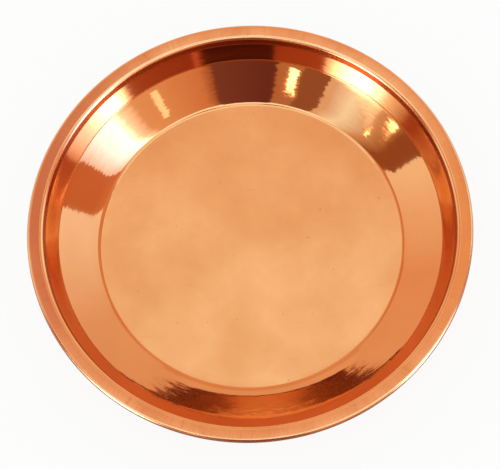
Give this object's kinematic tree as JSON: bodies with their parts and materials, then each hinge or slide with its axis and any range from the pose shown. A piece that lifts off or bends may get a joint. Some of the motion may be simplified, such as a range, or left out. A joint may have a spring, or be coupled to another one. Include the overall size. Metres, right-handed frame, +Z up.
{
  "type": "puja thali",
  "caption": "Round shallow copper plate with a flat floor, a stepped sloping side and a flat rim rolled over a wire, for offerings and vessels in worship.",
  "frame": {"origin": "centre of the underside of the floor, where the plate rests", "axes": "+Z up along the plate's axis, out of its open mouth; X and Y are equal"},
  "size_m": [0.2, 0.2, 0.024],
  "materials": {
    "copper": "satin",
    "wire": "satin"
  },
  "bodies": {
    "root": {"thali_dish": "copper", "rim_wire": "wire"}
  },
  "joints": []
}
